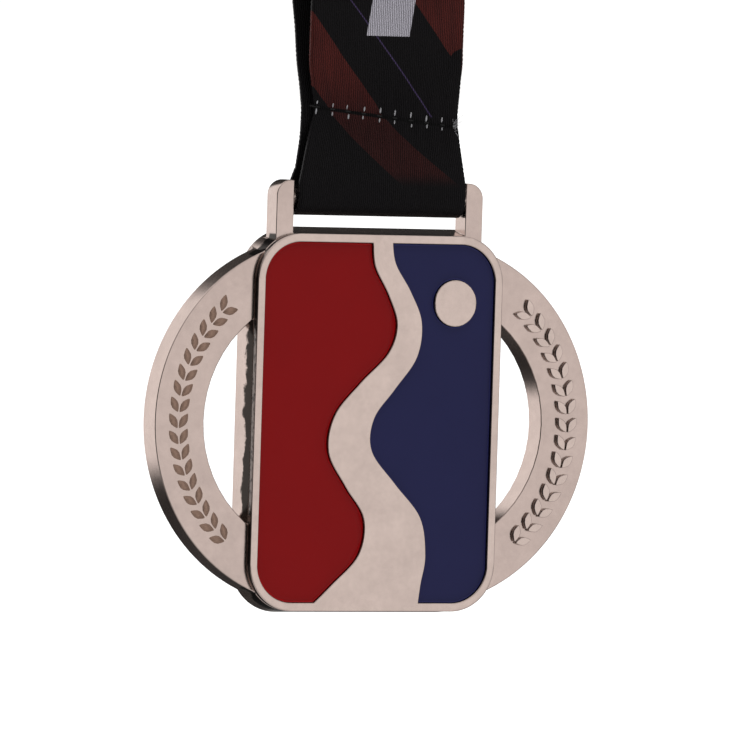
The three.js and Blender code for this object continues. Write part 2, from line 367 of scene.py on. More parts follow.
def weave_group():
    """Ribs that run along a ribbon, with cross threads, from the piece's own map in metres."""
    if "Weave" in bpy.data.node_groups:
        return bpy.data.node_groups["Weave"]
    group, tree, given, result = new_group(
        "Weave",
        [("Pitch", "NodeSocketFloat", 0.3 * MM), ("Wander", "NodeSocketFloat", 0.25)],
        [("Height", "NodeSocketFloat"), ("Mottle", "NodeSocketFloat")],
    )
    place = tree.add("ShaderNodeUVMap", uv_map="Cloth").outputs[0]
    parts = tree.add("ShaderNodeSeparateXYZ")
    tree.put(parts.inputs[0], place)
    pitch = given.outputs["Pitch"]
    bend = tree.math("SUBTRACT", tree.noise(place, 900.0, 2.0), 0.5)
    shift = tree.math("MULTIPLY", bend, given.outputs["Wander"])
    column = tree.math("ADD", tree.math("DIVIDE", parts.outputs["X"], pitch), shift)
    row = tree.math("DIVIDE", parts.outputs["Y"], tree.math("MULTIPLY", pitch, 0.72))
    ribs = tree.math("ABSOLUTE", tree.math("SINE", tree.math("MULTIPLY", column, math.pi)))
    offset = tree.math("MULTIPLY", tree.math("FLOOR", column), 0.5)
    picks = tree.math(
        "ABSOLUTE", tree.math("SINE", tree.math("MULTIPLY", tree.math("ADD", row, offset), math.pi))
    )
    height = tree.math("ADD", tree.math("MULTIPLY", ribs, 0.75), tree.math("MULTIPLY", picks, 0.25))
    tree.put(result.inputs["Height"], height)
    tree.put(result.inputs["Mottle"], tree.noise(place, 350.0, 3.0, 0.6))
    return group


def nickel_material(name, plating, all_walls):
    """Satin plate, with painted shade in dark brown on all its walls, or only on the block's walls near the
    plaque.
    """
    material, tree, shader = new_material(name)
    grain = tree.group(grain_group(), Fine_size=0.11 * MM, Broad_size=5.0 * MM)
    place = tree.add("ShaderNodeTexCoord").outputs["Object"]
    brushed = tree.noise(tree.stretched(place, (400.0, 400.0, 9000.0)), 1.0, 3.0, 0.65)
    stains = tree.noise(place, 700.0, 4.0, 0.7)
    uneven = tree.math("MULTIPLY", tree.math("ADD", grain.outputs["Broad"], stains), 0.5)
    dull = tree.mix(uneven, [c * 0.74 for c in plating], [c * 1.24 for c in plating])
    # painted shade: walls that face across the medal are mixed towards dark brown, with a ragged edge
    facing = tree.add("ShaderNodeSeparateXYZ")
    tree.put(facing.inputs[0], tree.add("ShaderNodeTexCoord").outputs["Normal"])
    wall = tree.inverse(tree.smooth(tree.math("ABSOLUTE", facing.outputs["Y"]), 0.25, 0.5))
    ragged = tree.smooth(tree.noise(place, 1500.0, 3.0, 0.6), 0.36, 0.56)
    dark = tree.math("MULTIPLY", wall, tree.spread(ragged, 1.0, 0.8))
    # on the ring, the painted shade lies only on the block's walls beside the plaque
    if not all_walls:
        dark = tree.math("MULTIPLY", wall, beside_plaque(tree, place))
    brown = bpy.context.scene.medal_colours.painted_shade
    tree.put(shader.inputs["Base Color"], tree.mix(dark, dull, brown))
    shader.inputs["Metallic"].default_value = 1.0
    tree.put(shader.inputs["Roughness"], tree.spread(grain.outputs["Broad"], 0.17, 0.24))
    height = tree.math(
        "ADD",
        tree.math("MULTIPLY", grain.outputs["Fine"], 0.6),
        tree.math("MULTIPLY", brushed, 0.4),
    )
    ripple = tree.bump(tree.noise(place, 380.0, 2.0), 0.03 * MM, 0.5)
    tree.put(shader.inputs["Normal"], tree.bump(height, 0.006 * MM, 0.5, ripple))
    return material


def beside_plaque(tree, place):
    """A ragged zone over the front of the block's sides, where the plaque is soldered on: the place where
    painted shade is laid on the ring.
    """
    parts = tree.add("ShaderNodeSeparateXYZ")
    tree.put(parts.inputs[0], place)
    sides = tree.math("ABSOLUTE", parts.outputs["X"])
    on_block = tree.inverse(tree.smooth(sides, PLAQUE_HIGH.x + 0.2 * MM, PLAQUE_HIGH.x + 0.4 * MM))
    below_lugs = tree.inverse(
        tree.smooth(parts.outputs["Z"], PLAQUE_HIGH.z - 0.3 * MM, PLAQUE_HIGH.z)
    )
    coarse = tree.noise(place, 260.0, 4.0, 0.65)
    reach = tree.spread(coarse, -0.9 * MM, 3.3 * MM)
    depth = tree.math("SUBTRACT", parts.outputs["Y"], reach)
    front = tree.inverse(tree.smooth(depth, -1.3 * MM, -0.8 * MM))
    zone = tree.math("MULTIPLY", on_block, below_lugs)
    return tree.math("MULTIPLY", zone, front)


def enamel_material(name, base):
    material, tree, shader = new_material(name)
    grain = tree.group(grain_group(), Fine_size=0.5 * MM, Broad_size=6.0 * MM)
    tinted = tree.mix(grain.outputs["Broad"], [c * 0.93 for c in base], [c * 1.05 for c in base])
    # painted highlight: the enamel's colour is lightened where its face climbs the walls, in place of the
    # light the meniscus catches
    facing = tree.add("ShaderNodeSeparateXYZ")
    tree.put(facing.inputs[0], tree.add("ShaderNodeTexCoord").outputs["Normal"])
    rise = tree.inverse(tree.smooth(tree.math("ABSOLUTE", facing.outputs["Y"]), 0.93, 0.99))
    meniscus_highlight = [min(c * 1.35 + 0.006, 1.0) for c in base]
    tree.put(shader.inputs["Base Color"], tree.mix(rise, tinted, meniscus_highlight))
    tree.put(shader.inputs["Roughness"], tree.spread(grain.outputs["Fine"], 0.16, 0.22))
    shader.inputs["Specular IOR Level"].default_value = 0.12
    tree.put(shader.inputs["Normal"], tree.bump(grain.outputs["Broad"], 0.05 * MM, 0.25))
    return material


def engraving_material():
    material, tree, shader = new_material("Burnt engraving")
    grain = tree.group(grain_group(), Fine_size=0.15 * MM, Broad_size=1.5 * MM)
    base = bpy.context.scene.medal_colours.engraving
    tinted = tree.mix(grain.outputs["Fine"], [c * 0.7 for c in base], [c * 1.3 for c in base])
    tree.put(shader.inputs["Base Color"], tinted)
    tree.put(shader.inputs["Roughness"], tree.spread(grain.outputs["Broad"], 0.55, 0.7))
    shader.inputs["Metallic"].default_value = 0.5
    tree.put(shader.inputs["Normal"], tree.bump(grain.outputs["Fine"], 0.01 * MM, 0.6))
    return material


def ribbon_material():
    """Ribbed polyester with a printed diagonal band, a thin line and a pale slanted block."""
    material, tree, shader = new_material("Printed ribbon")
    colours = bpy.context.scene.medal_colours
    sizes = bpy.context.scene.medal_ribbon
    weave = tree.group(weave_group(), Pitch=sizes.wale_pitch, Wander=0.9)
    place = tree.add("ShaderNodeUVMap", uv_map="Cloth").outputs[0]
    parts = tree.add("ShaderNodeSeparateXYZ")
    tree.put(parts.inputs[0], place)
    across, along = parts.outputs["X"], parts.outputs["Y"]

    repeat = 27.0 * MM
    block_repeat = 95.4 * MM
    soft = 0.12 * MM
    seam = sizes.seam_height
    gathered = tree.math("MULTIPLY", tree.math("MINIMUM", along, seam), 0.43)
    slanted = tree.math("ADD", tree.math("MULTIPLY", along, 0.85), gathered)
    slanted = tree.math("ADD", slanted, across)
    in_repeat = tree.math("WRAP", tree.math("SUBTRACT", slanted, 5.2 * MM), repeat, 0.0)
    band = tree.math(
        "MULTIPLY",
        tree.smooth(in_repeat, 0.0, soft),
        tree.inverse(tree.smooth(in_repeat, 8.8 * MM, 8.8 * MM + soft)),
    )
    # the band's print is left out round the bar and fades to about a third below the seam, except far round
    # the back
    above_bar = tree.smooth(along, 1.5 * MM, 4.0 * MM)
    far_back = tree.inverse(tree.smooth(along, -46.0 * MM, -40.0 * MM))
    bright = tree.spread(tree.smooth(along, seam - 2.0 * MM, seam + 8.0 * MM), 0.36, 1.0)
    streak = tree.noise(tree.stretched(place, (900.0, 120.0, 1.0)), 1.0, 3.0, 0.6)
    band_strength = tree.math("MULTIPLY", band, tree.math("MAXIMUM", above_bar, far_back))
    band_strength = tree.math("MULTIPLY", band_strength, tree.math("MAXIMUM", bright, far_back))
    band_strength = tree.math("MULTIPLY", band_strength, tree.spread(streak, 0.45, 1.4))

    steeper = tree.math("ADD", tree.math("MULTIPLY", across, 1.1), along)
    on_line = tree.math("WRAP", tree.math("SUBTRACT", steeper, 20.1 * MM), block_repeat, 0.0)
    line = tree.inverse(tree.smooth(on_line, 0.22 * MM, 0.36 * MM))
    line = tree.math("MULTIPLY", line, tree.smooth(along, seam, seam + 0.4 * MM))

    leaning = tree.math("SUBTRACT", across, tree.math("MULTIPLY", along, 0.18))
    block_across = tree.math("ABSOLUTE", tree.math("ADD", leaning, 4.1 * MM))
    block_along = tree.math("WRAP", tree.math("SUBTRACT", along, 22.4 * MM), block_repeat, 0.0)
    inside = tree.math(
        "MULTIPLY",
        tree.inverse(tree.smooth(block_across, 3.5 * MM, 3.5 * MM + soft)),
        tree.inverse(tree.smooth(block_along, 9.0 * MM, 9.0 * MM + soft)),
    )

    dark, light = [c * 0.7 for c in colours.ribbon], [c * 1.35 for c in colours.ribbon]
    ground = tree.mix(weave.outputs["Mottle"], dark, light)
    printed = tree.mix(band_strength, ground, colours.band)
    printed = tree.mix(line, printed, colours.line)
    printed = tree.mix(inside, printed, colours.block)
    # painted shade: the ribbon is darkened along the seam's line, where the stitches pull it in
    fall = tree.math("MULTIPLY", across, sizes.seam_slope * 0.87)
    off_seam = tree.math("ABSOLUTE", tree.math("SUBTRACT", tree.math("ADD", along, fall), seam))
    sunk = tree.inverse(tree.smooth(off_seam, 0.16 * MM, 0.4 * MM))
    printed = tree.mix(sunk, printed, [c * 0.35 for c in colours.ribbon])
    shaded = tree.mix(weave.outputs["Height"], (0.0, 0.0, 0.0), (1.65, 1.65, 1.65))
    product = tree.add("ShaderNodeMix", data_type="RGBA", blend_type="MULTIPLY")
    product.inputs[0].default_value = 1.0
    tree.put(product.inputs[6], printed)
    tree.put(product.inputs[7], shaded)
    tree.put(shader.inputs["Base Color"], product.outputs[2])
    tree.put(shader.inputs["Roughness"], tree.spread(weave.outputs["Mottle"], 0.5, 0.66))
    shader.inputs["Specular IOR Level"].default_value = 0.16
    tree.put(shader.inputs["Normal"], tree.bump(weave.outputs["Height"], 0.1 * MM, 1.0))
    return material


def thread_material(name, base, roughness):
    material, tree, shader = new_material(name)
    place = tree.add("ShaderNodeTexCoord").outputs["Object"]
    twist = tree.noise(tree.stretched(place, (9000.0, 3000.0, 3000.0)), 1.0, 2.0)
    tinted = tree.mix(twist, [c * 0.6 for c in base], [c * 1.3 for c in base])
    tree.put(shader.inputs["Base Color"], tinted)
    shader.inputs["Roughness"].default_value = roughness
    tree.put(shader.inputs["Normal"], tree.bump(twist, 0.03 * MM, 0.6))
    return material


# ---- Stage ---------------------------------------------------------------------------------


class MEDAL_OT_stage(bpy.types.Operator):
    """Places the camera, the pale floor and the soft studio light"""

    bl_idname = "medal.stage"
    bl_label = "Stage and light"

    def execute(self, context):
        sizes = context.scene.medal_stage
        self.camera(context, sizes)
        self.floor(context, sizes)
        self.studio(context)
        return {"FINISHED"}

    def camera(self, context, sizes):
        turn, rise = sizes.azimuth, sizes.elevation
        right = Vector((math.cos(turn), math.sin(turn), 0.0))
        ahead = Vector(
            (-math.sin(turn) * math.cos(rise), math.cos(turn) * math.cos(rise), -math.sin(rise))
        )
        above = right.cross(ahead)
        lean_right = right * math.cos(sizes.roll) + above * math.sin(sizes.roll)
        lean_up = above * math.cos(sizes.roll) - right * math.sin(sizes.roll)
        middle = Vector((0.0, PLAQUE_LOW.y, PLAQUE_CENTRE.z))
        aim = middle + lean_up * sizes.aim_up + lean_right * sizes.aim_right
        data = bpy.data.cameras.new("Camera")
        data.lens = sizes.lens
        data.clip_start = 0.05
        data.clip_end = 50.0
        camera = bpy.data.objects.new("Camera", data)
        context.scene.collection.objects.link(camera)
        turned = Matrix((lean_right, lean_up, -ahead)).transposed().to_4x4()
        camera.matrix_world = Matrix.Translation(aim - ahead * sizes.distance) @ turned
        context.scene.camera = camera

    def floor(self, context, sizes):
        bm = bmesh.new()
        bmesh.ops.create_circle(bm, cap_ends=True, segments=96, radius=12.0)
        bmesh.ops.translate(bm, verts=bm.verts, vec=UP * (RING_LOW.z - sizes.floor_drop))
        mesh = bpy.data.meshes.new("Floor")
        bm.to_mesh(mesh)
        bm.free()
        material, tree, shader = new_material("Pale floor")
        shader.inputs["Base Color"].default_value = (0.9, 0.9, 0.9, 1.0)
        shader.inputs["Roughness"].default_value = 0.9
        shader.inputs["Emission Color"].default_value = (1.0, 1.0, 1.0, 1.0)
        shader.inputs["Emission Strength"].default_value = 0.7
        mesh.materials.append(material)
        floor = bpy.data.objects.new("Floor", mesh)
        context.scene.collection.objects.link(floor)
        floor.visible_glossy = False
        floor.visible_diffuse = False

    def studio(self, context):
        world = bpy.data.worlds.new("Studio")
        world.use_nodes = True
        context.scene.world = world
        context.scene.view_settings.view_transform = "Standard"
        tree = Tree(world.node_tree)
        background = next(node for node in world.node_tree.nodes if node.type == "BACKGROUND")
        towards = tree.add("ShaderNodeTexCoord").outputs["Generated"]
        parts = tree.add("ShaderNodeSeparateXYZ")
        tree.put(parts.inputs[0], towards)
        level = tree.math("ABSOLUTE", parts.outputs["Z"])

        # behind the medal: a bright backdrop on the left, and dark on the right and far below
        behind = tree.smooth(parts.outputs["Y"], 0.15, 0.5)
        upward = tree.math("MAXIMUM", parts.outputs["Z"], 0.0)
        leaning = tree.math("ADD", parts.outputs["X"], tree.math("MULTIPLY", upward, 0.35))
        leftward = tree.inverse(tree.smooth(leaning, -0.06, 0.12))
        leftward = tree.math("MAXIMUM", leftward, tree.smooth(parts.outputs["X"], 0.5, 0.66))
        raised = tree.smooth(parts.outputs["Z"], -0.36, -0.24)
        lit = tree.math("MULTIPLY", leftward, raised)
        backdrop = tree.math("MULTIPLY", behind, lit)
        unlit = tree.math("MULTIPLY", behind, tree.inverse(lit))
        unlit = tree.math("MULTIPLY", unlit, tree.inverse(tree.smooth(level, 0.6, 0.85)))
        lowest = tree.inverse(tree.smooth(parts.outputs["Z"], -0.38, -0.3))
        darkest = tree.math("MAXIMUM", tree.smooth(parts.outputs["Z"], 0.0, 0.1), lowest)
        unlit = tree.math("MULTIPLY", unlit, tree.spread(darkest, 0.3, 1.0))
        strip = tree.smooth(self.facing(tree, towards, (0.89, 0.445, 0.0)), 0.93, 0.98)

        # a large softbox in front on the right, and a dark card in front on the left
        box = tree.smooth(self.facing(tree, towards, (0.436, -0.9, -0.03)), 0.86, 0.95)
        card = tree.smooth(self.facing(tree, towards, (-0.75, -0.66, 0.0)), 0.78, 0.88)
        card = tree.math("MULTIPLY", card, tree.inverse(tree.smooth(level, 0.22, 0.38)))
        overhead = tree.smooth(parts.outputs["Z"], 0.45, 0.85)
        below = tree.smooth(tree.math("MULTIPLY", parts.outputs["Z"], -1.0), 0.35, 0.8)

        total = tree.math("ADD", tree.math("MULTIPLY", box, 0.62), 0.28)
        total = tree.math("ADD", total, tree.math("MULTIPLY", overhead, 0.55))
        total = tree.math("ADD", total, tree.math("MULTIPLY", below, 0.35))
        total = tree.math("ADD", total, tree.math("MULTIPLY", backdrop, 0.78))
        total = tree.math("MULTIPLY", total, tree.spread(unlit, 1.0, 0.1))
        total = tree.math("ADD", total, tree.math("MULTIPLY", strip, 0.9))
        total = tree.math("MULTIPLY", total, tree.spread(card, 1.0, 0.05))
        seen = tree.add("ShaderNodeLightPath").outputs["Is Camera Ray"]
        strength = tree.add("ShaderNodeMix", data_type="FLOAT")
        tree.put(strength.inputs[0], seen)
        tree.put(strength.inputs[2], total)
        tree.put(strength.inputs[3], 1.05)
        background.inputs["Color"].default_value = (1.0, 0.99, 0.98, 1.0)
        tree.put(background.inputs["Strength"], strength.outputs[0])

    def facing(self, tree, towards, direction):
        """How nearly a direction points at a given one, from -1 to 1."""
        node = tree.add("ShaderNodeVectorMath", operation="DOT_PRODUCT")
        tree.put(node.inputs[0], towards)
        node.inputs[1].default_value = Vector(direction).normalized()
        return node.outputs["Value"]


# ---- Medal ---------------------------------------------------------------------------------


class MEDAL_OT_ring_casting(bpy.types.Operator):
    """Makes the cast ring with its ears, centre block, lugs and ribbon bar"""

    bl_idname = "medal.ring_casting"
    bl_label = "Ring casting"

    def execute(self, context):
        sizes = context.scene.medal_casting
        bm = casting("ring_frame", sizes.edge_round, 3)
        # the ring's nickel paints shade on the block's walls beside the plaque
        plate = nickel_material("Ring nickel", context.scene.medal_colours.ring_nickel, False)
        piece = add_piece("ring_casting", bm, plate, "medal", "satin_nickel", "ring_frame")
        even_shading(piece)
        return {"FINISHED"}


class MEDAL_OT_front_plaque(bpy.types.Operator):
    """Makes the plaque with its rim, road and sun standing above the enamel"""

    bl_idname = "medal.front_plaque"
    bl_label = "Front plaque"

    def execute(self, context):
        sizes = context.scene.medal_casting
        bm = casting("front_plaque", sizes.rim_round)
        # the plaque's nickel paints shade on all its walls
        plate = nickel_material("Plaque nickel", context.scene.medal_colours.nickel, True)
        piece = add_piece("plaque_casting", bm, plate, "medal", "satin_nickel", "front_plaque")
        even_shading(piece)
        return {"FINISHED"}


class MEDAL_OT_enamels(bpy.types.Operator):
    """Gives the two enamel fills their glossy colours"""

    bl_idname = "medal.enamels"
    bl_label = "Enamel fills"

    def execute(self, context):
        colours = context.scene.medal_colours
        for node, label, base in (
            ("red_enamel", "Red enamel", colours.red),
            ("navy_enamel", "Navy enamel", colours.navy),
        ):
            material = enamel_material(label, base)
            piece = add_piece(node + "_fill", self.fill(node), material, "medal", node, node)
            even_shading(piece)
        return {"FINISHED"}

    def fill(self, node):
        """The enamel climbs the walls round it, so its face is sunk in steps away from the edge."""
        bm = bmesh.new()
        bm.from_mesh(frame["nodes"][node].data)
        bmesh.ops.remove_doubles(bm, verts=bm.verts, dist=0.002 * MM)
        face = [f for f in bm.faces if f.normal.dot(FRONT) > 0.99]
        self.shift(bm, face, 0.16 * MM)
        for width, sink in ((0.08, 0.09), (0.16, 0.08)):
            bmesh.ops.inset_region(
                bm,
                faces=face,
                thickness=width * MM,
                use_boundary=True,
                use_even_offset=True,
            )
            self.hold_back(face, 2.0 * width * MM)
            self.shift(bm, face, -sink * MM)
        self.refill(bm, set(face))
        return bm

    def refill(self, bm, faces):
        """Fills the sunk face anew inside its own outline."""
        edges = {edge for face in faces for edge in face.edges}
        outline = [e for e in edges if sum(face in faces for face in e.link_faces) == 1]
        bmesh.ops.delete(bm, geom=list(faces), context="FACES")
        bmesh.ops.triangle_fill(bm, use_beauty=True, edges=outline, normal=FRONT)

    def hold_back(self, faces, reach):
        """Keeps the inset from shooting far out at sharp inside corners."""
        inner = {vertex for face in faces for vertex in face.verts}
        for vertex in inner:
            outside = [edge.other_vert(vertex) for edge in vertex.link_edges]
            outside = [other for other in outside if other not in inner]
            if outside:
                away = vertex.co - outside[0].co
                if away.length > reach:
                    vertex.co = outside[0].co + away.normalized() * reach

    def shift(self, bm, faces, forward):
        verts = list({vertex for face in faces for vertex in face.verts})
        bmesh.ops.translate(bm, verts=verts, vec=FRONT * forward)


class MEDAL_OT_sprigs(bpy.types.Operator):
    """Sets an engraved sprig on the left ear and a raised one on the right ear"""

    bl_idname = "medal.sprigs"
    bl_label = "Ear sprigs"

    def execute(self, context):
        sizes = context.scene.medal_casting
        engraved = self.sprig(sizes, -1, sizes.engraved_pairs, 0.015 * MM)
        add_piece("engraved_sprig", engraved, engraving_material(), "medal", "satin_nickel")
        raised = self.sprig(sizes, 1, sizes.raised_pairs, sizes.raised_height)
        # the raised leaves take the plaque's material, so their walls get its painted shade
        piece = add_piece(
            "raised_sprig", raised, bpy.data.materials["Plaque nickel"], "medal", "satin_nickel"
        )
        even_shading(piece)
        return {"FINISHED"}

    def sprig(self, sizes, side, pairs, height):
        """Leaves in pairs along the ear, each pair opening away from the point between them."""
        bm = bmesh.new()
        ear_centre = Vector((side * (RING_HIGH.x - sizes.ear_radius), EAR_FRONT_Y, PLAQUE_CENTRE.z))
        reach = math.radians(47)
        row_offset = 0.75 * MM
        leaf_lean = math.radians(32)
        for pair in range(pairs):
            turn = -reach + 2 * reach * pair / (pairs - 1)
            for lean in (-1, 1):
                leaf = self.leaf(bm, sizes, height)
                place = (
                    Matrix.Translation(ear_centre)
                    @ Matrix.Rotation(-side * turn, 4, "Y")
                    @ Matrix.Translation((side * (sizes.sprig_radius + lean * row_offset), 0.0, 0.0))
                    @ Matrix.Rotation(side * lean * leaf_lean, 4, "Y")
                )
                bmesh.ops.transform(bm, matrix=place, verts=leaf)
        bmesh.ops.recalc_face_normals(bm, faces=bm.faces)
        return bm

    def leaf(self, bm, sizes, height):
        """One pointed leaf standing on the plane Y = 0, its length along Z."""
        made = bmesh.ops.create_circle(bm, cap_ends=True, segments=14, radius=0.5)
        outline = made["verts"]
        for vertex in outline:
            pointed = 1.0 - 1.6 * abs(vertex.co.y) ** 1.5
            vertex.co = Vector(
                (vertex.co.x * sizes.leaf_width * pointed, 0.0, vertex.co.y * sizes.leaf_length)
            )
        face = next(iter(outline[0].link_faces))
        raised = bmesh.ops.extrude_face_region(bm, geom=[face])["geom"]
        top = [item for item in raised if isinstance(item, bmesh.types.BMVert)]
        bmesh.ops.translate(bm, verts=top, vec=FRONT * height)
        rim = [
            item
            for item in raised
            if isinstance(item, bmesh.types.BMEdge)
        ]
        leaf_verts = list(outline) + top
        if height > 0.1 * MM:
            rounded = bmesh.ops.bevel(
                bm,
                geom=rim,
                offset=0.14 * height,
                offset_type="OFFSET",
                segments=2,
                profile=0.5,
                affect="EDGES",
                material=-1,
            )
            leaf_verts = list(
                {v for v in list(outline) + rounded["verts"] if v.is_valid}
            )
        return leaf_verts


# ---- Ribbon --------------------------------------------------------------------------------


class RibbonPath:
    """The ribbon's closed route, as points in Y and Z with the length run so far."""

    side_steps = 110

    def __init__(self, sizes):
        self.sizes = sizes
        self.layer = sizes.thickness / 2 + 0.03 * MM
        self.loop_radius = LOOP_HIGH.y - sizes.thickness / 2
        self.pitch = (HANK_HIGH.y - HANK_LOW.y - sizes.thickness) / sizes.runs
        first = -self.pitch * (sizes.runs - 1) / 2
        up = self.side_up(-1, first)
        folded = self.hank(first)
        down = list(reversed(self.side_up(1, -first)))
        self.points = up + folded + down + self.round_bar()
        self.turning_row = len(up) + len(folded) // 2
        self.lengths = [0.0]
        for before, after in zip(self.points, self.points[1:] + self.points[:1]):
            self.lengths.append(self.lengths[-1] + (after - before).length)

    def side_up(self, side, top_y):
        """From beside the bar up through the seam to the hank."""
        top = HANK_LOW.z - BAR.z
        points = []
        for i in range(self.side_steps):
            height = top * i / self.side_steps
            depth = self.depth(height, top, abs(top_y))
            points.append(Vector((side * depth, BAR.z + height)))
        return points

    def depth(self, height, top, top_depth):
        """How far one strap lies from the middle plane: met at the seam, spread at the hank."""
        sizes = self.sizes
        if height < sizes.seam_height:
            share = ease(height / sizes.seam_height)
            return self.loop_radius + (self.layer - self.loop_radius) * share
        spread_from = top - 5.0 * MM
        share = (height - sizes.seam_height) / (spread_from - sizes.seam_height)
        gentle = self.layer + sizes.strap_spread * share**2
        last = min(max((height - spread_from) / (top - spread_from), 0.0), 1.0)
        return gentle + (top_depth - gentle) * ease(last)

    def hank(self, first):
        """Runs up and down, joined by round turns of a random height."""
        chance = random.Random(4)
        bend = self.pitch / 2
        low = HANK_LOW.z + bend
        high = HANK_HIGH.z - bend - self.sizes.thickness / 2
        runs = self.sizes.runs
        points = []
        end = low
        for run in range(runs):
            y = first + run * self.pitch
            upward = run % 2 == 0
            start = end
            end = high - chance.uniform(0, 1.6) * MM if upward else low + chance.uniform(0, 1.6) * MM
            if run == runs - 1:
                end = low
            for i in range(24):
                points.append(Vector((y, start + (end - start) * i / 24)))
            if run < runs - 1:
                points += self.fold(y, end, bend if upward else -bend)
        points.append(Vector((first + (runs - 1) * self.pitch, low)))
        return points

    def fold(self, y, z, rise):
        """A half turn from one run to the next."""
        bend = abs(rise)
        steps = 8
        points = []
        for i in range(steps):
            angle = math.pi * i / steps
            points.append(Vector((y + bend - bend * math.cos(angle), z + rise * math.sin(angle))))
        return points

    def round_bar(self):
        """Under the bar, from the back to the front."""
        steps = 20
        points = []
        for i in range(steps):
            angle = math.pi * i / steps
            y = self.loop_radius * math.cos(angle)
            z = BAR.z - self.loop_radius * math.sin(angle)
            points.append(Vector((y, z)))
        return points

    def place(self, share, y, z):
        """Where a point of the ribbon lies: its place across, gathered at the seam and waved."""
        sizes = self.sizes
        across = 2 * share - 1
        height = z - BAR.z
        if z > HANK_LOW.z:
            return self.place_in_hank(across, y, z)
        middle, half = self.gather(height, y < 0)
        x = middle + half * across
        x += self.selvage(across, height)
        slope_seam = sizes.seam_height - sizes.seam_slope * x
        off_seam = height - slope_seam
        near_seam = math.exp(-((off_seam / (4.5 * MM)) ** 2))
        stitched = math.exp(-((off_seam / (0.4 * MM)) ** 2))
        hold = clamp(height / (3 * MM)) * clamp((HANK_LOW.z - z) / (2 * MM))
        side = -1 if y < 0 else 1
        wave = 0.4 * MM * noise.noise(Vector((x * 150, z * 100, 3.0 if y < 0 else 9.0)))
        puff = 0.5 - 0.5 * math.cos(2 * math.pi * x / sizes.stitch_pitch)
        pucker = 0.14 * MM * puff * near_seam - 0.2 * MM * stitched * (1 - 0.5 * puff)
        turned = sizes.strap_yaw * clamp((height - sizes.seam_height) / (9 * MM)) * x
        if y > 0:
            turned = 0.0
        depth = y + hold * (wave * (1 - near_seam) + turned + side * pucker)
        return Vector((x, depth, z))

    def gather(self, height, in_front):
        """The strap's middle and half width: drawn in at the seam, more in front than behind."""
        sizes = self.sizes
        full = sizes.width / 2 * 0.996
        above = (height - sizes.seam_height) / (9 * MM)
        if in_front:
            below = clamp((height - 2 * MM) / (sizes.seam_height - 2 * MM))
            drawn = 1.65 * MM * below * (1 - 0.91 * ease(clamp(above)))
            aside = 0.9 * MM * below * (1 - clamp(above * 0.55) ** 2)
        else:
            below = clamp(height / (4 * MM))
            drawn = 0.75 * MM * below * (1 - ease(clamp(above)))
            aside = 0.4 * MM * below * (1 - clamp(above * 0.55) ** 2)
        return aside, full - drawn

    def selvage(self, across, height):
        """The small scallops of the woven edge."""
        if abs(across) < 0.999:
            return 0.0
        return math.copysign(0.07 * MM * math.sin(2 * math.pi * height / (1.3 * MM)), across)

    def place_in_hank(self, across, y, z):
        """In the hank the runs lie flat on each other and the tie pulls them together."""
        middle = (TIE_LOW.z + TIE_HIGH.z) / 2
        squeeze = 1 - 0.24 * math.exp(-(((z - middle) / (6.5 * MM)) ** 4))
        aside = 0.3 * MM * noise.noise(Vector((y * 700, z * 25, 1.0)))
        settle = clamp((z - HANK_LOW.z) / (3 * MM))
        x = self.sizes.width / 2 * 0.99 * across + aside * settle
        return Vector((x, y * squeeze, z))


def ease(share):
    return share * share * (3 - 2 * share)


def clamp(value):
    return min(max(value, 0.0), 1.0)


class MEDAL_OT_ribbon(bpy.types.Operator):
    """Makes the one continuous neck ribbon, round the bar, through the seam and into the hank"""

    bl_idname = "medal.ribbon"
    bl_label = "Neck ribbon"

    columns = 40

    def execute(self, context):
        sizes = context.scene.medal_ribbon
        path = RibbonPath(sizes)
        bm = bmesh.new()
        rows = len(path.points)
        bmesh.ops.create_grid(bm, x_segments=self.columns, y_segments=rows, size=1.0)
        corners = {}
        for vertex in bm.verts:
            row = round((vertex.co.y + 1) / 2 * rows)
            corners[vertex] = ((vertex.co.x + 1) / 2, row)
        self.lay_map(bm, corners, path)
        for vertex, (share, row) in corners.items():
            y, z = path.points[row % rows]
            vertex.co = path.place(share, y, z)
        bmesh.ops.remove_doubles(bm, verts=bm.verts, dist=0.001 * MM)
        bmesh.ops.recalc_face_normals(bm, faces=bm.faces)
        ribbon = add_piece(
            "neck_ribbon",
            bm,
            ribbon_material(),
            "ribbon",
            "black_ribbon",
            "ribbon_loop",
            "ribbon_front_strap",
            "ribbon_back_strap",
            "ribbon_hank",
        )
        wall = ribbon.modifiers.new("Thickness", "SOLIDIFY")
        wall.thickness = sizes.thickness * 0.9
        wall.offset = 0.0
        wall.use_even_offset = True
        context.scene["ribbon_length"] = path.lengths[-1]
        return {"FINISHED"}

    def lay_map(self, bm, corners, path):
        """Lays the woven map in metres, counted both ways from the bar's front."""
        layer = bm.loops.layers.uv.new("Cloth")
        for face in bm.faces:
            first_row = min(corners[vertex][1] for vertex in face.verts)
            back = path.lengths[-1] if first_row >= path.turning_row else 0.0
            for loop in face.loops:
                share, row = corners[loop.vert]
                across = (share - 0.5) * path.sizes.width
                loop[layer].uv = (across, path.lengths[row] - back)


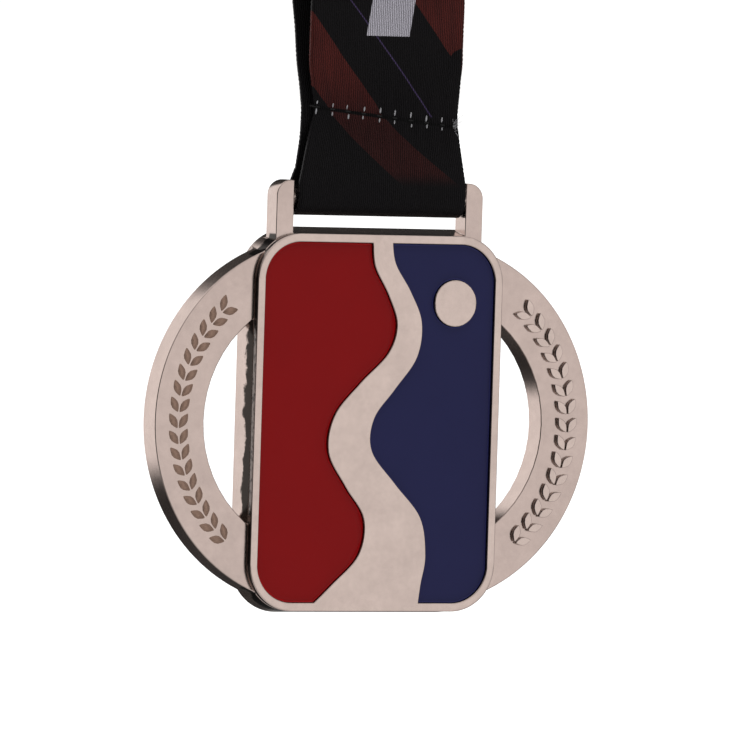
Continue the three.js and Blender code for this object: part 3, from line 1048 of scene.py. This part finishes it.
class MEDAL_OT_stitches(bpy.types.Operator):
    """Sews the row of stitches that closes the ribbon's loop, with painted glint flecks beside its stitches
    and its loose fibre ends
    """

    bl_idname = "medal.stitches"
    bl_label = "Seam stitches"

    def execute(self, context):
        sizes = context.scene.medal_ribbon
        path = RibbonPath(sizes)
        chance = random.Random(11)
        threads = bmesh.new()
        glints_and_fibres = bmesh.new()
        for i in range(sizes.stitches):
            x = (i - (sizes.stitches - 1) / 2) * sizes.stitch_pitch - 0.1 * MM
            for side in (-1, 1):
                place = self.on_strap(path, sizes, x, 0.0, side)
                self.bead(threads, place, 1.1 * MM, 0.1 * MM, 0.17 * MM)
            # painted glints: off-white flecks above and below each stitch stand in for the glints at its
            # holes
            for rise in (-1, 1):
                off = rise * chance.uniform(0.55, 0.75) * MM
                place = self.on_strap(path, sizes, x + chance.uniform(-0.15, 0.15) * MM, off, -1)
                tall = chance.uniform(0.28, 0.45) * MM
                self.bead(glints_and_fibres, place, chance.uniform(0.1, 0.16) * MM, 0.07 * MM, tall)
        self.tuft(glints_and_fibres, path, sizes, chance)
        self.fray(threads, chance)
        thread = thread_material("Sewing thread", (0.004, 0.0035, 0.004), 0.75)
        white = thread_material("Glint flecks and bare fibre", (0.55, 0.55, 0.58), 0.6)
        add_piece("seam_stitches", threads, thread, "ribbon", "thread", "seam_thread")
        add_piece("seam_glints_and_fibres", glints_and_fibres, white, "ribbon", "thread")
        return {"FINISHED"}

    def on_strap(self, path, sizes, x, off_seam, side):
        """A frame on the strap's outer face, at a place across and a height off the seam."""
        height = sizes.seam_height - sizes.seam_slope * x + off_seam
        y = side * path.depth(height, HANK_LOW.z - BAR.z, 0.0)
        middle, half = path.gather(height, side < 0)
        share = ((x - middle) / half + 1) / 2
        spot = path.place(share, y, BAR.z + height)
        spot.y += side * sizes.thickness * 0.45
        return Matrix.Translation(spot) @ Matrix.Rotation(math.atan(sizes.seam_slope), 4, "Y")

    def bead(self, bm, place, half_length, half_depth, half_height):
        """A short rounded bead lying along X: a length of thread, and also each painted glint fleck."""
        made = bmesh.ops.create_uvsphere(bm, u_segments=10, v_segments=6, radius=1.0)
        lie = Matrix.Diagonal((half_length, half_depth, half_height, 1.0))
        bmesh.ops.transform(
            bm, matrix=place @ lie @ Matrix.Rotation(math.pi / 2, 4, "Y"), verts=made["verts"]
        )

    def tuft(self, bm, path, sizes, chance):
        """Cut thread ends standing out at the right end of the seam."""
        start = self.on_strap(path, sizes, 11.3 * MM, 0.0, -1).translation
        for i in range(26):
            rise = chance.uniform(-1.3, 1.3) * MM
            base = start + Vector((chance.uniform(-0.25, 0.2) * MM, 0.0, rise * 0.7))
            aside, out, up = chance.uniform(-0.2, 0.9), chance.uniform(-0.7, 0.1), chance.uniform(-0.9, 0.9)
            reach = Vector((aside, out, up)).normalized() * chance.uniform(0.5, 1.1) * MM
            self.strand(bm, base, reach, 0.05 * MM, chance)

    def fray(self, bm, chance):
        """Black thread ends at the ribbon's left edge beside the bar."""
        for i in range(14):
            height = chance.uniform(-1.9, 0.6) * MM
            base = Vector((LOOP_LOW.x + 0.1 * MM, LOOP_LOW.y + 0.5 * MM, BAR.z + height))
            aside, out, up = chance.uniform(-0.6, -0.1), chance.uniform(-0.5, 0.3), chance.uniform(-0.7, 0.5)
            reach = Vector((aside, out, up)).normalized() * chance.uniform(0.3, 0.6) * MM
            self.strand(bm, base, reach, 0.06 * MM, chance)

    def strand(self, bm, base, reach, radius, chance):
        """A thin curved thread from its base to its loose end."""
        steps = 8
        sides = 5
        curl = Vector([chance.uniform(-1, 1) for _ in range(3)]).cross(reach)
        across = reach.orthogonal().normalized()
        beside = reach.normalized().cross(across)
        made = bmesh.ops.create_grid(bm, x_segments=sides, y_segments=steps, size=1.0)
        for vertex in made["verts"]:
            turn = math.pi * (vertex.co.x + 1)
            share = (vertex.co.y + 1) / 2
            bent = base + reach * share + curl * share * share * 0.9
            thin = radius * (1 - 0.6 * share)
            vertex.co = bent + (across * math.cos(turn) + beside * math.sin(turn)) * thin
        bmesh.ops.remove_doubles(bm, verts=made["verts"], dist=0.0005 * MM)


class MEDAL_OT_hank_tie(bpy.types.Operator):
    """Wraps the tie round the middle of the folded ribbon"""

    bl_idname = "medal.hank_tie"
    bl_label = "Hank tie"

    def execute(self, context):
        bm = casting("hank_tie", 0.25 * MM, 3)
        middle = (TIE_LOW + TIE_HIGH) / 2
        for vertex in bm.verts:
            vertex.co.y = middle.y + (vertex.co.y - middle.y) * 0.8
        piece = add_piece("hank_band", bm, band_material(), "ribbon", "black_ribbon", "hank_tie")
        even_shading(piece)
        return {"FINISHED"}


def band_material():
    """Plain woven elastic, ribbed round the band."""
    material, tree, shader = new_material("Woven elastic")
    place = tree.add("ShaderNodeTexCoord").outputs["Object"]
    parts = tree.add("ShaderNodeSeparateXYZ")
    tree.put(parts.inputs[0], place)
    ribs = tree.math("SINE", tree.math("MULTIPLY", parts.outputs["Z"], 2 * math.pi / (0.55 * MM)))
    mottle = tree.noise(place, 1800.0, 3.0)
    base = bpy.context.scene.medal_colours.ribbon
    tinted = tree.mix(mottle, [c * 1.2 for c in base], [c * 2.4 for c in base])
    tree.put(shader.inputs["Base Color"], tinted)
    shader.inputs["Roughness"].default_value = 0.7
    tree.put(shader.inputs["Normal"], tree.bump(ribs, 0.08 * MM, 0.6))
    return material


# ---- Add-on --------------------------------------------------------------------------------


class MEDAL_PT_panel(bpy.types.Panel):
    """Lists the medal's pieces and their sizes"""

    bl_idname = "MEDAL_PT_panel"
    bl_label = "Finisher medal"
    bl_space_type = "VIEW_3D"
    bl_region_type = "UI"
    bl_category = "Medal"

    def draw(self, context):
        for operator in OPERATORS:
            self.layout.operator(operator.bl_idname)
        for name, group in GROUPS.items():
            box = self.layout.box()
            for prop in group.__annotations__:
                box.prop(getattr(context.scene, name), prop)


GROUPS = {
    "medal_casting": CastingSizes,
    "medal_ribbon": RibbonSizes,
    "medal_colours": FinishColours,
    "medal_stage": StageSizes,
}
OPERATORS = (
    MEDAL_OT_stage,
    MEDAL_OT_ring_casting,
    MEDAL_OT_front_plaque,
    MEDAL_OT_enamels,
    MEDAL_OT_sprigs,
    MEDAL_OT_ribbon,
    MEDAL_OT_stitches,
    MEDAL_OT_hank_tie,
)


def register():
    for group in (*GROUPS.values(), *OPERATORS, MEDAL_PT_panel):
        bpy.utils.register_class(group)
    for name, group in GROUPS.items():
        setattr(bpy.types.Scene, name, PointerProperty(type=group))


def unregister():
    for name in GROUPS:
        delattr(bpy.types.Scene, name)
    for group in (MEDAL_PT_panel, *reversed(OPERATORS), *GROUPS.values()):
        bpy.utils.unregister_class(group)


def main():
    register()
    bpy.ops.medal.stage()
    bpy.ops.medal.ring_casting()
    bpy.ops.medal.front_plaque()
    bpy.ops.medal.enamels()
    bpy.ops.medal.sprigs()
    bpy.ops.medal.ribbon()
    bpy.ops.medal.stitches()
    bpy.ops.medal.hank_tie()


if __name__ == "__main__":
    main()
